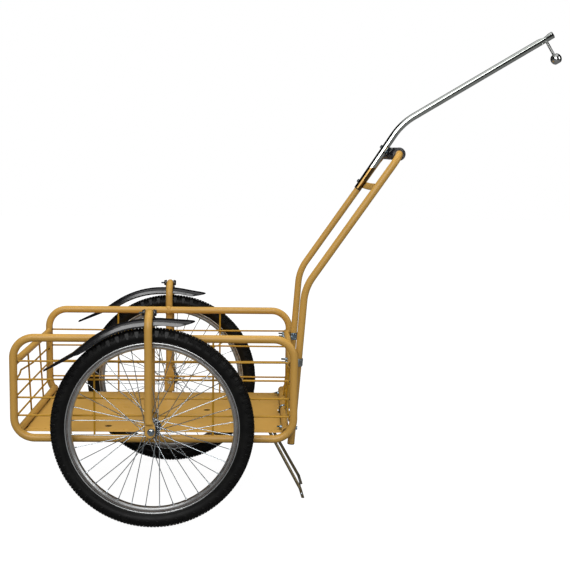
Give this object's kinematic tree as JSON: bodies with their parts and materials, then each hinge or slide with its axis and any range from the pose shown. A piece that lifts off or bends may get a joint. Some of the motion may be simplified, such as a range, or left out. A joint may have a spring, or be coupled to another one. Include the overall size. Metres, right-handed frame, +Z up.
{
  "type": "bicycle trailer",
  "caption": "Bicycle cargo trailer: open wire-sided tray between spoked wheels held in tube hoops, with a push handle, a drawbar ending in a hitch ball, and a fold-away stand.",
  "frame": {"origin": "on the ground, at the middle of the trailer's length and width", "axes": "+X forwards to the hitch ball, +Y to the trailer's left, +Z up"},
  "size_m": [1.7103, 0.855, 1.5127],
  "materials": {
    "ochre_paint": "satin ochre paint",
    "tyre_rubber": "black tyre rubber",
    "tube_rubber": "black inner-tube rubber",
    "alloy": "brushed aluminium",
    "bright_steel": "bright steel",
    "zinc": "blue zinc plating",
    "yellow_zinc": "yellow zinc plating",
    "chrome": "bright chrome",
    "black_plastic": "glossy black plastic",
    "black_rubber": "black rubber"
  },
  "bodies": {
    "frame": {"drawbar": "chrome", "drawbar_lower_bolt": "zinc", "drawbar_lower_plug": "black_plastic", "drawbar_spacer": "zinc", "drawbar_upper_bolt": "zinc", "drawbar_upper_plug": "black_plastic", "floor_pan": "ochre_paint", "front_lower_bar": "ochre_paint", "front_mesh": "ochre_paint", "front_top_bar": "ochre_paint", "handle": "ochre_paint", "handle_strip": "ochre_paint", "hitch_ball": "bright_steel", "left_axle": "zinc", "left_grip": "black_rubber", "left_inner_axle_nut": "zinc", "left_inner_bearing_cone": "bright_steel", "left_inner_strap_bolt": "zinc", "left_leg_bolt": "zinc", "left_leg_plug": "black_plastic", "left_leg_strap": "zinc", "left_mudguard": "black_plastic", "left_mudguard_bolt": "zinc", "left_outer_axle_nut": "zinc", "left_outer_bearing_cone": "bright_steel", "left_outer_strap_bolt": "zinc", "left_side_frame": "ochre_paint", "left_side_mesh": "ochre_paint", "left_wheel_hoop": "ochre_paint", "rear_lower_bar": "ochre_paint", "rear_mesh": "ochre_paint", "rear_top_bar": "ochre_paint", "right_axle": "zinc", "right_grip": "black_rubber", "right_inner_axle_nut": "zinc", "right_inner_bearing_cone": "bright_steel", "right_inner_strap_bolt": "zinc", "right_leg_bolt": "zinc", "right_leg_plug": "black_plastic", "right_leg_strap": "zinc", "right_mudguard": "black_plastic", "right_mudguard_bolt": "zinc", "right_outer_axle_nut": "zinc", "right_outer_bearing_cone": "bright_steel", "right_outer_strap_bolt": "zinc", "right_side_frame": "ochre_paint", "right_side_mesh": "ochre_paint", "right_wheel_hoop": "ochre_paint", "stand_bracket": "ochre_paint", "stand_clamp": "zinc"},
    "right_wheel": {"right_tyre": "tyre_rubber", "right_inner_tube": "tube_rubber", "right_rim": "alloy", "right_hub_and_spokes": "bright_steel"},
    "left_wheel": {"left_tyre": "tyre_rubber", "left_inner_tube": "tube_rubber", "left_rim": "alloy", "left_hub_and_spokes": "bright_steel"},
    "stand": {"stand": "yellow_zinc", "stand_brace": "zinc"}
  },
  "joints": [
    {"name": "right_wheel_spin", "type": "hinge", "parent": "frame", "child": "right_wheel", "pos_m": [-0.41909, -0.36815, 0.3035], "axis": [0, 1, 0], "continuous": true},
    {"name": "left_wheel_spin", "type": "hinge", "parent": "frame", "child": "left_wheel", "pos_m": [-0.41909, 0.36815, 0.3035], "axis": [0, 1, 0], "continuous": true},
    {"name": "stand_fold", "type": "hinge", "parent": "frame", "child": "stand", "pos_m": [-0.09049, 0, 0.25551], "axis": [0, 1, 0], "range_deg": [0, 110]}
  ]
}
